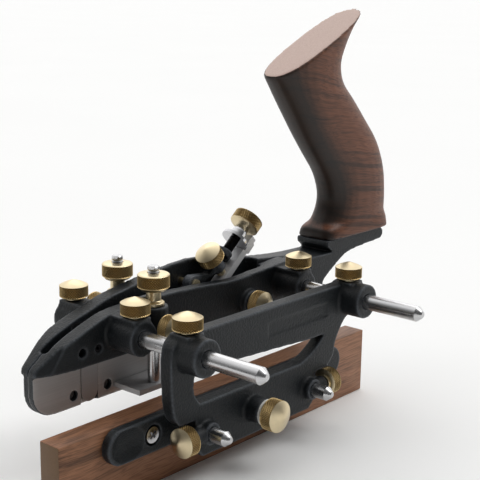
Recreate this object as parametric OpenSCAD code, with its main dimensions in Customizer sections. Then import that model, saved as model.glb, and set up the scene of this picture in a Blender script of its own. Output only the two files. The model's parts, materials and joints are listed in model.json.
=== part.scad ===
// Cast plough plane with two skates, a fence on rods and a wooden handle
// Millimetres. X runs from toe (-) to handle (+), the fence is on -Y, Z is up.
// The origin is on the sole of the far skate, under the front rod.

/* [Skates] */
// Thickness of each skate
skate_t = 3.1; // [2.4:0.1:4]
// Space left between the two skates
skate_gap = 0.4; // [0.3:0.1:2]
// Toe of the skates ahead of the front rod
toe_l = 46.3; // [44:0.5:56]
// Heel of the far skate behind the front rod
heel_l = 160; // [156:0.5:166]
// Radius of the skates' toe corner
toe_r = 12; // [6:0.5:16]
// Diameter of the plain holes in the near skate
plain_hole_d = 4.4; // [3:0.1:5]
// Spacing screw behind the front rod
spacing_x = 94; // [92:0.5:98]

/* [Castings] */
// Width of each arch
arch_w = 8.1; // [7:0.1:10]
// Slot between the two arches
slot_w = 4.6; // [3:0.1:6]
// Height of the underside of the arches above the sole
arch_under = 21; // [18:0.5:23]
// Highest point of the far arch above the sole
crown_h = 53.5; // [50:0.5:58]
// Top of the near arch above the sole
near_crown_h = 45.3; // [44.5:0.1:48]
// Wall left beside the blade pocket on the far casting
far_wall = 3; // [2.5:0.1:4]
// Wall left beside the blade pocket on the near casting
near_wall = 6.2; // [5:0.1:7]
// Rear end of the blade pocket behind the front rod
pocket_end = 113.6; // [110:0.1:116]
// Front end of the blade pocket behind the front rod
pocket_start = 36; // [33:0.5:40]
// Height of the pocket floor behind the blade
pocket_floor = 36; // [33:0.5:38]

/* [Handle] */
// Height of the handle platform above the sole
platform_h = 49.5; // [48:0.5:54]
// Thickness of the platform's tail
platform_t = 7; // [5:0.5:9]
// Width of the platform
platform_w = 23; // [20:0.5:26]
// Front of the handle's base behind the front rod
grip_x = 166; // [164:0.5:172]
// Length of the handle's base
grip_base_l = 59; // [54:0.5:64]
// Reach of the handle's foot ahead of its base
grip_foot = 3.8; // [2:0.1:5]
// Width of the handle
grip_w = 27; // [22:0.5:32]
// Height of the handle's top horn above the platform
grip_h = 131; // [115:1:145]
// Handle screw diameter
grip_screw_d = 5; // [4:0.5:6]

/* [Rods] */
// Diameter of the fence rods
rod_d = 7.94; // [6:0.01:9]
// Distance between the two rods
rod_spacing = 122; // [120:0.5:126]
// Height of the rods above the sole
rod_h = 33.5; // [32.5:0.1:34.5]
// Reach of the rods on the fence side
rod_reach = 102.6; // [96:0.1:130]
// Reach of the front rod on the far side
rod_far = 24; // [22:0.5:25]
// Reach of the rear rod on the far side
rear_rod_far = 13; // [11:0.5:14]
// Outside diameter of the rod bosses
boss_d = 17; // [15:0.1:18]
// Length of the rod bosses from the face of their arch
boss_l = 17; // [15.5:0.5:18]

/* [Thumbscrews] */
// Knob diameter
knob_d = 14.2; // [12:0.1:15]
// Height of the knurled band
knob_h = 6; // [5:0.1:8]
// Height of the cone on top
cone_h = 2.6; // [1.5:0.1:4]
// Diameter of the threaded shank
screw_d = 5; // [4:0.1:6]
// Distance of the lock knobs from the arch faces
lock_y = 11.1; // [10:0.1:11.5]

/* [Depth stops] */
// Depth stop axis behind the front rod
stop_x = 16.4; // [16.2:0.1:20]
// Far depth stop axis behind the front rod
far_stop_x = 24.5; // [24:0.5:26]
// Drop of the far depth stop's nut below the near one's
far_stop_drop = 2.4; // [2.2:0.1:2.5]
// Depth stop axis from the middle plane
stop_y = 16.85; // [16.5:0.05:18.5]
// Post diameter
post_d = 6.5; // [6:0.1:7.5]
// Diameter of the threaded stud on the post
stud_d = 5; // [4:0.1:5.5]
// Nut knob diameter
nut_d = 15.6; // [13:0.1:16]
// Nut knob height
nut_h = 7.9; // [6:0.1:10]
// Nut neck length
nut_neck_l = 5.8; // [5:0.1:8]
// Foot length
foot_l = 28; // [24:0.5:30]
// Foot thickness
foot_t = 2.5; // [2:0.1:3.5]
// Height of the foot above the sole
foot_h = 3.6; // [3.4:0.1:5]

/* [Nickers] */
// Nicker width
nicker_w = 10; // [8:0.1:12]
// Nicker thickness
nicker_t = 1.5; // [1:0.1:1.8]
// Nicker axis ahead of the front rod
nicker_x = 12.6; // [12:0.1:14]
// Nicker length
nicker_l = 33; // [31:0.5:34]
// Set screw diameter
grub_d = 4; // [3:0.1:5]

/* [Blade] */
// Angle of the bed
bed_angle = 40; // [39:0.5:42]
// Cutting edge behind the front rod
mouth_x = 31.3; // [30:0.1:33]
// Blade width
blade_w = 6.9; // [6.6:0.1:7.2]
// Blade thickness
blade_t = 4; // [3:0.1:4.5]
// Blade length
blade_l = 95.5; // [94:0.5:96]
// Adjuster screw diameter
spindle_d = 5.5; // [4.5:0.1:6]
// Height of the adjuster screw over the blade
spindle_rise = 6.4; // [6.2:0.1:6.6]
// Distance of the drive flange from the blade's top end
flange_back = 8.5; // [7:0.5:10]
// Distance of the clamp screw from the blade's top end
clamp_back = 27.2; // [26.5:0.1:29]
// Clamp lever width
lever_w = 5; // [4:0.1:5.6]

/* [Fence] */
// Middle of the fence frame's wall from the far skate
fence_y = 53.5; // [52:0.1:56]
// Thickness of the fence frame
frame_t = 7; // [6:0.1:8]
// Height of the top beam
beam_h = 20; // [18:0.5:22]
// Length of the fence bosses on the near side
fence_boss_l = 12; // [10.5:0.1:14]
// Gap between the frame and the fence bar
bar_gap = 5; // [4.5:0.1:8]
// Fence bar thickness
bar_t = 5; // [4.5:0.1:6]
// Fence bar height
bar_h = 17; // [16:0.5:20]
// Front end of the fence bar ahead of the front rod
bar_front = 37.5; // [36:0.5:46]
// Rear end of the fence bar behind the front rod
bar_rear = 133.5; // [128:0.5:138]
// Guide rod diameter
guide_d = 7.2; // [6.5:0.1:7.6]
// Front guide rod behind the front rod
guide_x = 12; // [12:0.5:15]
// Distance between the guide rods
guide_spacing = 77; // [76:0.5:80]
// Depth of the bar's middle below the rods
bar_drop = 39.5; // [39:0.5:41]
// Fine adjusting screw behind the front rod
fine_x = 45; // [42:0.5:56]
// Wooden strip length
strip_l = 223; // [210:1:240]
// Wooden strip height
strip_h = 35.5; // [34:0.5:45]
// Wooden strip thickness
strip_t = 12.5; // [11:0.5:16]

/* [Fits] */
// Radial clearance of turning and sliding fits
fit = 0.05; // [0.02:0.01:0.09]

/* [Hidden] */
$fn = 64;

// Planes across the body
mid_y = -(skate_t + skate_gap) / 2;
far_in = mid_y + slot_w / 2;
far_out = far_in + arch_w;
near_in = mid_y - slot_w / 2;
near_out = near_in - arch_w;
far_skate_in = -skate_t / 2;
near_skate_in = far_skate_in - skate_gap;
near_skate_out = near_skate_in - skate_t;
skate_top = arch_under + 5;
far_pocket = far_out - far_wall;
near_pocket = near_out + near_wall;
platform_y0 = mid_y - platform_w / 2;
platform_y1 = mid_y + platform_w / 2;
body_end = rod_spacing + boss_d / 2;
neck_x = body_end + 3;

// Places of small bores
spacing_z = rod_h - 5.3;
spacing_boss = 3.4;
grub_z = rod_h - 5.3;
skate_holes = [-22.3, -1.1];
skate_hole_z = 5.8;

// Radii with clearance
rod_r = rod_d / 2;
bore_r = rod_r + fit;
screw_r = screw_d / 2;
screw_bore = screw_r + fit;
knob_r = knob_d / 2;
boss_r = boss_d / 2;
post_r = post_d / 2;

// Thumbscrew seats
neck_gap = 0.3;
pad_h = 2;
boss_top = rod_h + boss_r + pad_h - 1;
lock_shank = boss_top + neck_gap - rod_h - rod_r - fit;
grip_screws = [grip_x + 17, grip_x + 42];
grip_seat = platform_h - platform_t + 2.8;
grip_screw_top = platform_h + 25;

// Depth stop levels
stop_boss_r = 7;
stop_top = rod_h + 10.9;
stop_bottom = arch_under + 3;
flange_r = 5.2;
flange_h = 1.7;
nut_neck_r = stud_d / 2 + 1.1;
stop_lock_drop = 9.4;
far_lock_reach = 3.5;
stud_rise = nut_neck_l + flange_h + nut_h + 4;
keeper_t = 1.6;

// Blade levels
slope_c = cos(bed_angle);
slope_s = sin(bed_angle);
hub_r = screw_r + 1.6;
hub_top = 10.2;
flange_s = blade_l - flange_back;
clamp_s = blade_l - clamp_back;
lever_pivot = [clamp_s - 18.5, 14.2];
pivot_r = 2;
eye_r = 4.2;
nose_s = clamp_s - 32.3;
adjuster_s0 = clamp_s + 6.2;
adjuster_s1 = adjuster_s0 + 4;
adjuster_top = spindle_rise + spindle_d / 2 + 1.6;
spindle_s = adjuster_s0 + 0.4;
spindle_l = blade_l + 0.5 - spindle_s;

// Fence planes and levels
frame_y0 = -fence_y - frame_t / 2;
frame_y1 = -fence_y + frame_t / 2;
boss_y0 = frame_y0 - fence_boss_l;
bar_y0 = frame_y1 + bar_gap;
bar_y1 = bar_y0 + bar_t;
bar_z = rod_h - bar_drop;
beam_top = rod_h + 8.5;
beam_low = beam_top - beam_h;
guide_z = bar_z - 1.6;
fine_z = bar_z + 0.4;
window_low = bar_z + bar_h / 2 + 4.5;
frame_low = guide_z - bar_h / 2 - 3.5;
guide_rear = guide_x + guide_spacing;
guide_r = guide_d / 2;
collar_r = guide_r + 1.8;
collar_y0 = frame_y0 - 4.6;
guide_end = collar_y0 - 10.9;
guide_lock_reach = 5.1;
guide_lock_y = frame_y0 - 1.2;
guide_boss_r = screw_r + 1.5;
arm_low = guide_z + knob_r + 0.3;
fine_end = bar_y1 + 1;
washer_t = 1;
fine_boss_y0 = frame_y0 - 8.5;
strip_top = bar_z + bar_h / 2;
strip_front = bar_front + 23.5;
strip_screw_x = [-10, 101];
strip_screw_d = 4;
strip_head_r = 3.9;
head_h = 2.6;

// Smooth curve through a list of points
function spline(a, b, c, d, t) =
    0.5 * (2 * b + (c - a) * t + (2 * a - 5 * b + 4 * c - d) * t * t
        + (3 * b - a - 3 * c + d) * t * t * t);
function curve(p, n = 6) = [
    for (i = [0 : len(p) - 2])
        for (k = [0 : n - 1])
            spline(p[max(i - 1, 0)], p[i], p[i + 1], p[min(i + 2, len(p) - 1)], k / n),
    p[len(p) - 1]
];

// A flat outline in X and Z, given thickness from y0 to y1
module plate(y0, y1) {
    translate([0, y1, 0])
        rotate([90, 0, 0])
            linear_extrude(y1 - y0)
                children();
}

// A cylinder along Y at one X and Z
module y_cyl(x, z, y0, y1, r) {
    translate([x, y1, z])
        rotate([90, 0, 0])
            cylinder(h = y1 - y0, r = r);
}

// A cylinder along Z at one X and Y
module z_cyl(x, y, z0, z1, r) {
    translate([x, y, z0])
        cylinder(h = z1 - z0, r = r);
}

// A cylinder along X at one Y and Z
module x_cyl(y, z, x0, x1, r) {
    translate([x0, y, z])
        rotate([0, 90, 0])
            cylinder(h = x1 - x0, r = r);
}

// The blade's own frame: X up along the blade, Z out of its face
module on_blade(y = mid_y) {
    translate([mouth_x, y, 0])
        rotate([0, -bed_angle, 0])
            children();
}

// Point of the blade's frame in X and Z of the part
function blade_xz(s, t) = [mouth_x + s * slope_c - t * slope_s, s * slope_s + t * slope_c];
// Place along the back of the blade at one height
function bed_at(z) = blade_xz((z + blade_t * slope_c) / slope_s, -blade_t);

// A thumbscrew with its tip at the origin and its cone on +Z
module thumbscrew(shank, r = knob_r, h = knob_h) {
    band = shank + 1;
    rotate_extrude()
        polygon([
            [0, 0], [screw_r - 0.5, 0], [screw_r, 0.5], [screw_r, shank],
            [r * 0.62, shank], [r * 0.62, band], [r - 1, band], [r, band + 1],
            [r, band + h - 0.4], [r - 0.4, band + h], [0.8, band + h + cone_h],
            [0, band + h + cone_h]
        ]);
}

// Outline of the front of an arch, from its lower toe corner
function toe_curve() = [
    [-toe_l - 0.2, arch_under], [-toe_l + 0.6, arch_under + 3], [-toe_l + 5.2, rod_h - 6],
    [-toe_l + 13.5, rod_h - 0.2], [-toe_l + 24, rod_h + 4.3], [-toe_l + 33, rod_h + 7.4],
    [-toe_l + 41, rod_h + 9.6]
];

// Far arch, from the toe over the crown to the neck
module far_arch() {
    polygon(concat(
        curve(concat(toe_curve(), [
            [8, crown_h - 6.6], [35, crown_h - 2.6], [66, crown_h], [90, crown_h - 3.2],
            [pocket_end + 2, platform_h - 3.4], [neck_x + 6, platform_h - 6],
            [neck_x + 18, platform_h - 7]
        ])),
        [[neck_x + 18, arch_under]]
    ));
}

// Near arch, from the toe to its end at the rear rod
module near_arch() {
    polygon(concat(
        curve(concat(toe_curve(), [
            [8, near_crown_h - 1], [29, near_crown_h], [58, near_crown_h - 1.2],
            [84, near_crown_h - 3], [102, near_crown_h - 2], [body_end, near_crown_h - 0.6]
        ])),
        [[body_end, arch_under]]
    ));
}

// Skate outline with a round toe, up into its arch
module skate(end) {
    polygon(concat(
        [for (a = [180 : 5 : 270]) [-toe_l + toe_r + toe_r * cos(a), toe_r + toe_r * sin(a)]],
        [[end, 0], [end, skate_top], [-toe_l + 5, skate_top], [-toe_l, arch_under + 0.8]]
    ));
}

// Wedge that narrows an arch towards the toe; out is its outer face and side is 1 or -1
module toe_taper(out, side, depth) {
    translate([0, 0, arch_under - 1])
        linear_extrude(crown_h)
            polygon([
                [-toe_l + 20, out], [-toe_l - 2, out - side * depth], [-toe_l - 2, out + side * 2],
                [-toe_l + 20, out + side * 2]
            ]);
}

// Slanted cut on the near corner of the toe
module toe_chamfer() {
    translate([-toe_l + 5.5, near_out + 2.2, arch_under - 1])
        rotate([0, 32, 0])
            translate([0, 0, -12])
                linear_extrude(40)
                    polygon([[0, 0], [-14, 8], [-14, -9], [0, -9]]);
}

// Slot between the arches, above the skates and ahead of the blade, from y0 to y1
module slot_cut(y0, y1) {
    translate([-toe_l + 9, y0, skate_top])
        cube([toe_l + pocket_start, y1 - y0, crown_h]);
}

// Round rear end of the blade pocket, from y0 to y1
module pocket_round(y0, y1) {
    round_r = (far_pocket - near_pocket) / 2 + 0.8;
    intersection() {
        z_cyl(pocket_end - round_r, (far_pocket + near_pocket) / 2, pocket_floor, crown_h + 9, round_r);
        translate([pocket_end - 8, y0, pocket_floor])
            cube([9, y1 - y0, crown_h]);
    }
}

// Space for the blade, its clamp and the shavings
module escapement() {
    polygon([
        [mouth_x - 2.5, -1], [pocket_start, arch_under + 5], [pocket_start, crown_h + 20],
        [pocket_end - 6, crown_h + 20], [pocket_end - 6, pocket_floor],
        bed_at(pocket_floor), bed_at(-1)
    ]);
}

// Web that holds the adjuster's boss on the far wall
module adjuster_web() {
    polygon([
        blade_xz(adjuster_s0, 0.4), blade_xz(adjuster_s1, 0.4),
        blade_xz(adjuster_s1, adjuster_top), blade_xz(adjuster_s0, adjuster_top)
    ]);
}

// Foot of that web, down into the far wall
module web_foot() {
    front = blade_xz(adjuster_s0, 0.4);
    rear = blade_xz(adjuster_s1, 0.4);
    polygon([[front[0], rod_h], front, rear, [rear[0], rod_h]]);
}

// Pad and bore of a lock screw on a rod boss
module boss_pad(x, y0, y1) {
    translate([x - screw_r - 3, y0, rod_h])
        cube([screw_d + 6, y1 - y0, boss_top - rod_h]);
}
module lock_bore(x, y) {
    z_cyl(x, y, rod_h, boss_top + 1, screw_bore);
}

// Axis and top of a depth stop's boss: side 1 is the far side, -1 the near side
function stop_at(side) = side > 0 ? far_stop_x : stop_x;
function stop_head(side) = stop_top - (side > 0 ? far_stop_drop : 0);

// Boss of a depth stop, its web to the arch and the keeper over the nut's flange; side is 1 or -1
module stop_boss(y, face, side) {
    low = min(y, face - side);
    x = stop_at(side);
    top = stop_head(side);
    z_cyl(x, y, stop_bottom, top, stop_boss_r);
    if (side > 0)
        y_cyl(x, top - stop_lock_drop, y + 1.5, y + stop_boss_r + far_lock_reach, screw_r + 2.4);
    translate([x - stop_boss_r + 1, low, stop_bottom])
        cube([2 * stop_boss_r - 2, abs(y - face + side), top - stop_bottom]);
    keeper_in = y - side * (nut_neck_r + 0.5);
    translate([x - 4, min(keeper_in, face - side), top + flange_h + 0.2])
        cube([8, abs(keeper_in - face + side), keeper_t]);
    riser_in = y - side * (flange_r + 0.3);
    translate([x - 4, min(riser_in, face - side), top - 1])
        cube([8, abs(riser_in - face + side), flange_h + 1.2 + keeper_t]);
}
module stop_bores(y, side) {
    x = stop_at(side);
    top = stop_head(side);
    z_cyl(x, y, stop_bottom - 1, top + 0.1, post_r + fit);
    y_cyl(x, top - stop_lock_drop, min(y, y + side * 12), max(y, y + side * 12), screw_bore);
}

// Slot for a nicker in a skate's outer face
module nicker_slot(outer, side) {
    depth = nicker_t + fit;
    translate([-nicker_x - nicker_w / 2 - fit, side > 0 ? outer - depth : outer - 0.4, -1])
        cube([nicker_w + 2 * fit, depth + 0.4, nicker_l + 6]);
}
module nicker_bore(outer, face, side) {
    inner = outer - side * nicker_t / 2;
    y_cyl(-nicker_x, grub_z, min(inner, face + side), max(inner, face + side), grub_d / 2 + fit);
}

// Neck behind the sliding section and the platform under the handle
module neck() {
    tail = grip_x + grip_base_l - 8;
    polygon(concat(
        [
            [neck_x, arch_under], [neck_x, platform_h - 6.2], [grip_x - grip_foot + 5.5, platform_h - 7.3],
            [grip_x - grip_foot + 0.2, platform_h - 3], [grip_x - grip_foot + 0.2, platform_h],
            [tail, platform_h], [tail + 1.5, platform_h - 2], [tail + 1.5, platform_h - platform_t + 2]
        ],
        curve([
            [tail - 1, platform_h - platform_t], [tail - 20, platform_h - platform_t - 1],
            [tail - 36, platform_h - platform_t - 3], [tail - 48, platform_h - platform_t - 9],
            [heel_l - 0.5, arch_under + 6], [heel_l - 2, arch_under]
        ])
    ));
}

module main_body() {
    color([0.09, 0.10, 0.11])
    difference() {
        union() {
            plate(far_skate_in, far_out) far_arch();
            plate(far_skate_in, skate_t / 2) skate(heel_l);
            plate(platform_y0, platform_y1) neck();
            y_cyl(0, rod_h, far_out - 1, far_out + boss_l, boss_r);
            boss_pad(0, far_out - 1, far_out + boss_l - 0.8);
            y_cyl(rod_spacing, rod_h, far_out - 1, rear_rod_far + 1.5, boss_r);
            stop_boss(mid_y + stop_y, far_out, 1);
            plate(far_skate_in, far_out - 1) adjuster_web();
            plate(far_pocket, far_out - 1) web_foot();
            on_blade()
                translate([adjuster_s0, 0, spindle_rise])
                    rotate([0, 90, 0])
                        cylinder(h = adjuster_s1 - adjuster_s0, r = spindle_d / 2 + 1.2);
        }
        plate(far_skate_in - 1, far_pocket)
            difference() {
                escapement();
                adjuster_web();
            }
        slot_cut(far_skate_in - 1, far_in);
        toe_taper(far_out, 1, 6);
        pocket_round(far_skate_in - 1, far_pocket);
        on_blade()
            translate([adjuster_s0 - 1, 0, spindle_rise])
                rotate([0, 90, 0])
                    cylinder(h = adjuster_s1 - adjuster_s0 + 2, r = spindle_d / 2 + fit);
        for (x = [0, rod_spacing])
            y_cyl(x, rod_h, far_skate_in - 1, far_out + boss_l + 1, bore_r);
        lock_bore(0, far_out + lock_y);
        stop_bores(mid_y + stop_y, 1);
        nicker_slot(skate_t / 2, 1);
        nicker_bore(skate_t / 2, far_out, 1);
        y_cyl(blade_xz(lever_pivot[0], lever_pivot[1])[0], blade_xz(lever_pivot[0], lever_pivot[1])[1],
            far_pocket - 1, far_out + 1, pivot_r + fit);
        for (x = grip_screws)
            z_cyl(x, mid_y, platform_h - 30, platform_h + 1, grip_screw_d / 2 + fit);
        for (x = grip_screws)
            z_cyl(x, mid_y, arch_under - 1, grip_seat, grip_screw_d / 2 + 2.4);
    }
}

// Handle outline: front and rear edges from the base to the top, then a loft of rounded sections
function grip_front() = [
    [-grip_foot, 0], [-grip_foot, 0.040], [0, 0.066], [5, 0.122], [6, 0.187], [1, 0.279], [-9, 0.370],
    [-19, 0.462], [-28, 0.553], [-35, 0.622], [-40.5, 0.676], [-44.5, 0.714], [-45.5, 0.729]
];
function grip_rear() = [
    [0, 0], [1, 0.040], [2.5, 0.080], [2.5, 0.172], [0, 0.286], [-8, 0.408], [-21, 0.515], [-34, 0.615],
    [-45, 0.695], [-48, 0.782], [-43, 0.866], [-35, 0.950], [-28, 1]
];
grip_sides = 28;
grip_steps = 3;
function sq(v, n) = sign(v) * pow(abs(v), 2 / n);
function grip_ring(f, b, w, n) = [
    for (k = [0 : grip_sides - 1])
        let (a = 360 * k / grip_sides)
            [(f[0] + b[0]) / 2 + (b[0] - f[0]) / 2 * sq(cos(a), n), mid_y + w / 2 * sq(sin(a), n),
             (f[1] + b[1]) / 2 + (b[1] - f[1]) / 2 * sq(cos(a), n)]
];
function loft_faces(rings, sides) = concat(
    [[for (k = [0 : sides - 1]) sides - 1 - k]],
    [for (i = [0 : rings - 2]) for (k = [0 : sides - 1]) for (h = [0, 1])
        let (a = i * sides + k, b = i * sides + (k + 1) % sides)
            h == 0 ? [a, b, b + sides] : [a, b + sides, a + sides]],
    [[for (k = [0 : sides - 1]) (rings - 1) * sides + k]]
);

module handle() {
    front = curve([for (p = grip_front()) [grip_x + p[0], platform_h + p[1] * grip_h]], grip_steps);
    rear = curve([for (p = grip_rear()) [grip_x + grip_base_l + p[0], platform_h + p[1] * grip_h]],
        grip_steps);
    last = len(front) - 1;
    points = [
        for (i = [0 : last])
            let (u = i / last)
                each grip_ring(front[i], rear[i], grip_w - 3 * sin(180 * u), 2.6 + 4 * max(0, 1 - 6 * u))
    ];
    color([0.32, 0.17, 0.11])
    difference() {
        polyhedron(points, loft_faces(last + 1, grip_sides));
        for (x = grip_screws)
            z_cyl(x, mid_y, platform_h - 1, grip_screw_top + 1, grip_screw_d / 2 + fit);
    }
}

module handle_screws() {
    color([0.6, 0.6, 0.62])
    for (x = grip_screws)
        union() {
            z_cyl(x, mid_y, grip_seat - 1, grip_screw_top, grip_screw_d / 2);
            z_cyl(x, mid_y, grip_seat - 2.4, grip_seat, grip_screw_d / 2 + 2);
        }
}

// A rod along Y with a bevelled near tip
module fence_rod(x, far) {
    translate([x, far, rod_h])
        rotate([90, 0, 0])
            rotate_extrude()
                polygon([
                    [0, 0], [rod_r, 0], [rod_r, far + rod_reach - 3],
                    [rod_r - 2, far + rod_reach - 0.5], [rod_r - 2.6, far + rod_reach],
                    [0, far + rod_reach]
                ]);
}
module front_rod() {
    color([0.75, 0.75, 0.77]) fence_rod(0, rod_far);
}
module rear_rod() {
    color([0.75, 0.75, 0.77]) fence_rod(rod_spacing, rear_rod_far);
}

// Thumbscrew that locks a casting on a rod, from above
module rod_lock(x, y) {
    color([0.78, 0.62, 0.36])
    translate([x, y, rod_h + rod_r + fit])
        thumbscrew(lock_shank);
}
module main_lock() {
    rod_lock(0, far_out + lock_y);
}
module slide_lock_front() {
    rod_lock(0, near_out - lock_y);
}
module slide_lock_rear() {
    rod_lock(rod_spacing, near_out - lock_y);
}
module fence_lock_front() {
    rod_lock(0, frame_y0 + 0.5);
}
module fence_lock_rear() {
    rod_lock(rod_spacing, frame_y0 + 0.5);
}

module sliding_section() {
    color([0.09, 0.10, 0.11])
    difference() {
        union() {
            plate(near_out, near_skate_in) near_arch();
            plate(near_skate_out, near_skate_in) skate(body_end);
            for (x = [0, rod_spacing]) {
                y_cyl(x, rod_h, near_out - boss_l, near_out + 1, boss_r);
                boss_pad(x, near_out - boss_l + 0.8, near_out + 1);
            }
            stop_boss(mid_y - stop_y, near_out, -1);
            y_cyl(spacing_x, spacing_z, near_out - spacing_boss, near_out + 1, screw_r + 4.2);
        }
        plate(near_pocket, near_skate_in + 1) escapement();
        slot_cut(near_in, near_skate_in + 1);
        toe_taper(near_out, -1, 3.3);
        toe_chamfer();
        pocket_round(near_pocket, near_skate_in + 1);
        for (x = [0, rod_spacing])
            y_cyl(x, rod_h, near_out - boss_l - 1, near_skate_in + 1, bore_r);
        for (x = [0, rod_spacing])
            lock_bore(x, near_out - lock_y);
        stop_bores(mid_y - stop_y, -1);
        nicker_slot(near_skate_out, -1);
        nicker_bore(near_skate_out, near_out, -1);
        y_cyl(spacing_x, spacing_z, near_out - spacing_boss - 1, near_skate_in + 1, screw_bore);
        for (x = skate_holes)
            y_cyl(x, skate_hole_z, near_skate_out - 1, near_skate_in + 1, plain_hole_d / 2);
        y_cyl(skate_holes[0], grub_z, near_out - 1, near_out + 5, plain_hole_d / 2);
    }
}

module spacing_screw() {
    color([0.78, 0.62, 0.36])
    translate([spacing_x, far_skate_in - fit, spacing_z])
        rotate([90, 0, 0])
            thumbscrew(far_skate_in - fit - near_out + spacing_boss + neck_gap);
}

// Depth stop pieces for one side: 1 is the far side, -1 the near side
module stop_foot(side) {
    inner = (side > 0 ? skate_t / 2 : near_skate_out) + side * 0.5;
    outer = mid_y + side * (stop_y + post_r + 1.5);
    color([0.62, 0.62, 0.63])
    difference() {
        translate([stop_at(side) - foot_l / 2, min(inner, outer), foot_h])
            cube([foot_l, abs(outer - inner), foot_t]);
        z_cyl(stop_at(side), mid_y + side * stop_y, foot_h - 1, foot_h + foot_t + 1, stud_d / 2);
    }
}
module stop_post(side) {
    shoulder_z = stop_head(side) - 10;
    stud_top = stop_head(side) + stud_rise;
    color([0.75, 0.75, 0.77])
    translate([stop_at(side), mid_y + side * stop_y, 0])
        rotate_extrude()
            polygon([
                [0, foot_h], [stud_d / 2, foot_h], [stud_d / 2, foot_h + foot_t],
                [post_r, foot_h + foot_t], [post_r, shoulder_z], [stud_d / 2, shoulder_z],
                [stud_d / 2, stud_top - 0.8], [stud_d / 2 - 0.8, stud_top], [0, stud_top]
            ]);
}
module stop_nut(side) {
    base = stop_head(side) + fit;
    neck_top = base + flange_h + nut_neck_l;
    color([0.78, 0.62, 0.36])
    translate([stop_at(side), mid_y + side * stop_y, 0])
        rotate_extrude()
            polygon([
                [stud_d / 2 + fit, base], [flange_r, base], [flange_r, base + flange_h],
                [nut_neck_r, base + flange_h], [nut_neck_r, neck_top], [nut_d / 2 - 1.6, neck_top],
                [nut_d / 2, neck_top + 1.6], [nut_d / 2, neck_top + nut_h - 0.5],
                [nut_d / 2 - 0.5, neck_top + nut_h], [stud_d / 2 + fit, neck_top + nut_h + 0.6]
            ]);
}
module stop_lock(side) {
    tip = mid_y + side * (stop_y + post_r + fit);
    seat = mid_y + side * (stop_y + stop_boss_r + (side > 0 ? far_lock_reach : 0));
    color([0.78, 0.62, 0.36])
    translate([stop_at(side), tip, stop_head(side) - stop_lock_drop])
        rotate([-90 * side, 0, 0])
            thumbscrew(abs(seat - tip) + neck_gap, knob_r - 0.6);
}
module near_stop_foot() {
    stop_foot(-1);
}
module near_stop_post() {
    stop_post(-1);
}
module near_stop_nut() {
    stop_nut(-1);
}
module near_stop_lock() {
    stop_lock(-1);
}
module far_stop_foot() {
    stop_foot(1);
}
module far_stop_post() {
    stop_post(1);
}
module far_stop_nut() {
    stop_nut(1);
}
module far_stop_lock() {
    stop_lock(1);
}

// Scoring spur with a round lower end
module nicker(y0) {
    color([0.66, 0.66, 0.68])
    plate(y0, y0 + nicker_t)
        union() {
            translate([-nicker_x, 0.6 + nicker_w / 2])
                circle(r = nicker_w / 2);
            translate([-nicker_x - nicker_w / 2, 0.6 + nicker_w / 2])
                square([nicker_w, nicker_l - nicker_w / 2]);
        }
}
module near_nicker() {
    nicker(near_skate_out);
}
module far_nicker() {
    nicker(skate_t / 2 - nicker_t);
}

// Socket set screw that holds a nicker; side is 1 or -1
module grub(face, outer, side) {
    length = abs(face - outer) - 1 - fit;
    color([0.45, 0.45, 0.46])
    translate([-nicker_x, outer + side * fit, grub_z])
        rotate([-90 * side, 0, 0])
            difference() {
                cylinder(h = length, r = grub_d / 2);
                translate([0, 0, length - 2])
                    cylinder(h = 3, r = grub_d / 4, $fn = 6);
            }
}
module near_nicker_screw() {
    grub(near_out, near_skate_out, -1);
}
module far_nicker_screw() {
    grub(far_out, skate_t / 2, 1);
}

module blade() {
    color([0.58, 0.58, 0.60])
    on_blade()
        translate([0, blade_w / 2, 0])
            rotate([90, 0, 0])
                linear_extrude(blade_w)
                    polygon([
                        [0, 0], [flange_s - 1.1, 0], [flange_s - 1.1, -1.6], [flange_s + 1.1, -1.6],
                        [flange_s + 1.1, 0], [blade_l, 0], [blade_l, -blade_t], [blade_l - 2, -blade_t],
                        [blade_l - 2.6, -blade_t - 1.3], [blade_l - 8.6, -blade_t - 1.3],
                        [blade_l - 9.2, -blade_t],
                        [blade_t / tan(30), -blade_t]
                    ]);
}

module clamp_lever() {
    color([0.10, 0.11, 0.12])
    difference() {
        union() {
            on_blade()
                translate([0, lever_w / 2, 0])
                    rotate([90, 0, 0])
                        linear_extrude(lever_w)
                            union() {
                                translate(lever_pivot)
                                    circle(r = eye_r);
                                polygon([
                                    [lever_pivot[0] - 2, lever_pivot[1] + 3.6],
                                    [lever_pivot[0] + 3.2, lever_pivot[1] + 2.6],
                                    [clamp_s - knob_r - 0.8, hub_top - 0.8], [clamp_s, hub_top - 0.8],
                                    [clamp_s, hub_top - 5.6], [lever_pivot[0] + 3, lever_pivot[1] - 3.4]
                                ]);
                                polygon([
                                    [lever_pivot[0] - 3.9, lever_pivot[1] + 1.4], [nose_s - 3, 2.2],
                                    [nose_s - 3, fit], [nose_s + 3, fit],
                                    [lever_pivot[0] + 1, lever_pivot[1] - 4.1]
                                ]);
                            }
            on_blade()
                translate([clamp_s, 0, hub_top - 6])
                    cylinder(h = 6, r = hub_r);
        }
        on_blade()
            translate([clamp_s, 0, 0])
                cylinder(h = hub_top + 1, r = screw_bore);
        on_blade()
            translate([lever_pivot[0], lever_w, lever_pivot[1]])
                rotate([90, 0, 0])
                    cylinder(h = 2 * lever_w, r = pivot_r + fit);
    }
}

module clamp_pivot() {
    color([0.78, 0.62, 0.36])
    on_blade()
        translate([lever_pivot[0], 0, lever_pivot[1]])
            rotate([90, 0, 0])
                union() {
                    translate([0, 0, mid_y - far_out + 1])
                        cylinder(h = far_out - 1 - mid_y + lever_w / 2 + fit, r = pivot_r);
                    translate([0, 0, lever_w / 2 + fit])
                        cylinder(h = 1.2, r = pivot_r + 0.7);
                }
}

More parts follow.
